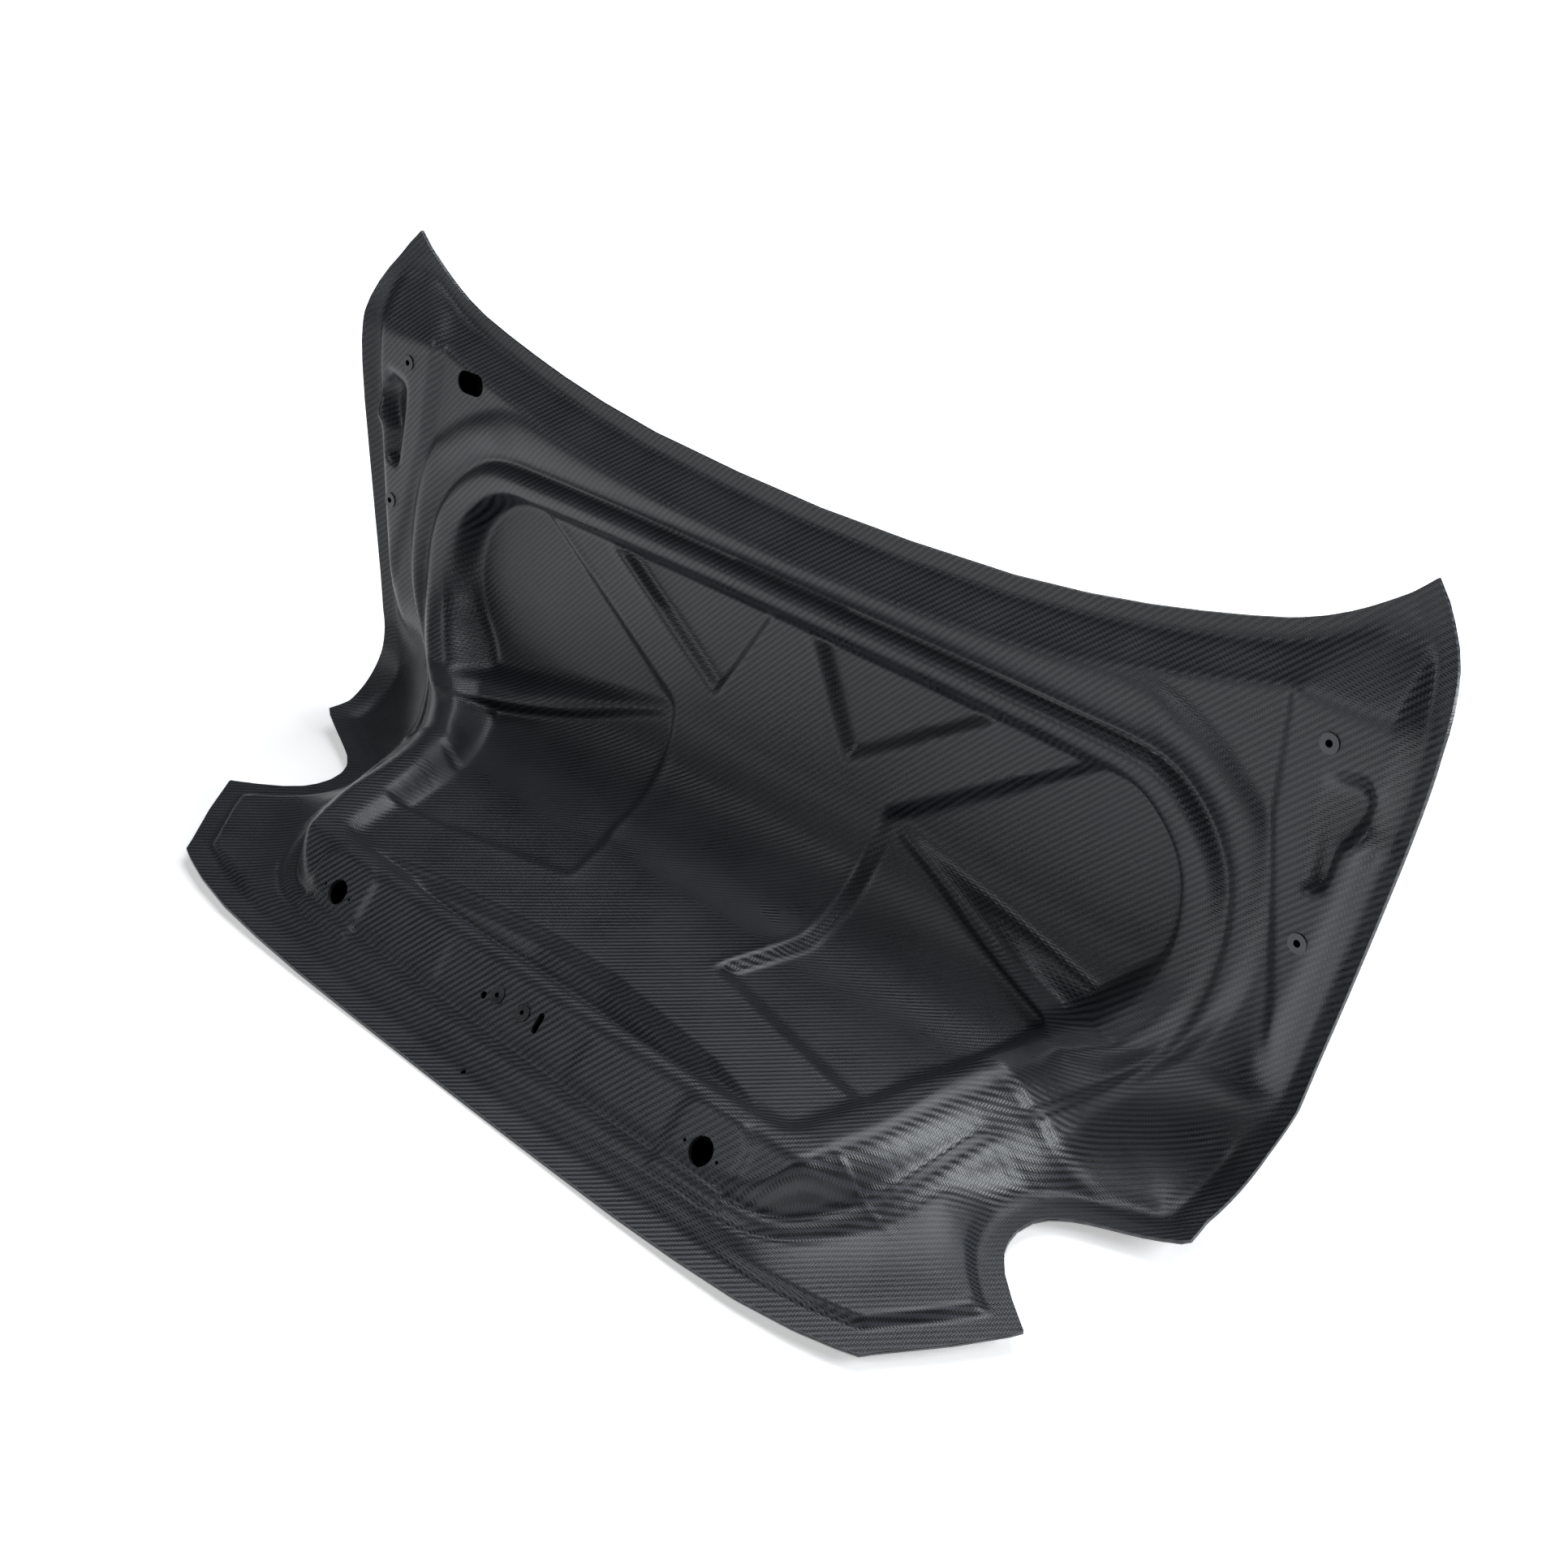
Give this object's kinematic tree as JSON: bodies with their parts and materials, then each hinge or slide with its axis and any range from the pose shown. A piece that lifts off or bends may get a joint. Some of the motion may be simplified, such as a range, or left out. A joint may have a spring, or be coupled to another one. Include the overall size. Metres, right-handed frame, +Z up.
{
  "type": "carbon fibre boot lid",
  "caption": "Carbon-fibre boot lid for a circuit car, seen from its ribbed inner side, standing on its rear face; hinge and latch inserts fitted.",
  "frame": {"origin": "middle of the bounding box on the floor, with the lid standing on its rear face", "axes": "+X along the lid's width, +Y from the inner side towards the outer face of the deck, +Z up"},
  "size_m": [1.4098, 0.529, 0.5855],
  "materials": {
    "carbon_outer": "twill carbon-fibre laminate under satin clear coat",
    "carbon_inner": "twill carbon-fibre laminate, satin, pressed inner side",
    "steel": "bright zinc plated",
    "plate": "plain sheet steel",
    "adhesive": "cured structural adhesive"
  },
  "bodies": {
    "root": {"hinge_inserts_left": "steel", "hinge_inserts_right": "steel", "hinge_plate_left": "plate", "hinge_plate_right": "plate", "inner_panel": "carbon_inner", "latch_inserts": "steel", "latch_plate": "plate", "mastic_spots": "adhesive", "outer_skin": "carbon_outer", "perimeter_bond": "adhesive", "stop_plate_left": "plate", "stop_plate_right": "plate"}
  },
  "joints": []
}
